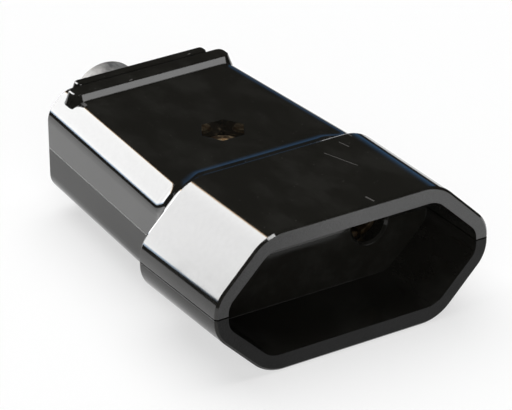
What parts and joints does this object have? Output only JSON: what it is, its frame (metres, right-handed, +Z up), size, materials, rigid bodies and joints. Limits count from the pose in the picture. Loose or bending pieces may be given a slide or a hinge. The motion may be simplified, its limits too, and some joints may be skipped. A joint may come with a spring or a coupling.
{
  "type": "in-line socket",
  "caption": "Black in-line mains socket with a six-sided plug recess, tapered finger-grip body, split shells and a grey cord sleeve.",
  "frame": {"origin": "under the middle of the whole socket, on the surface that the hood rests on", "axes": "+X to the right seen from the front, +Y from the plug opening to the cord sleeve, +Z up"},
  "size_m": [0.0404, 0.0626, 0.0193],
  "materials": {
    "shell": "gloss black moulded plastic",
    "sleeve": "matte grey",
    "contact": "turned",
    "spring": "satin",
    "terminal_screw": "zinc plated",
    "clamp": "matte black",
    "clamp_screw": "zinc plated",
    "fastener": "dull brass"
  },
  "bodies": {
    "root": {"upper_shell": "shell", "lower_shell": "shell", "cord_gland": "sleeve", "contact_left": "contact", "contact_right": "contact", "contact_spring_left": "spring", "contact_spring_right": "spring", "terminal_screw_left": "terminal_screw", "terminal_screw_right": "terminal_screw", "cord_clamp": "clamp", "clamp_screw_left": "clamp_screw", "clamp_screw_right": "clamp_screw", "closing_screw": "fastener", "closing_nut": "fastener"}
  },
  "joints": []
}
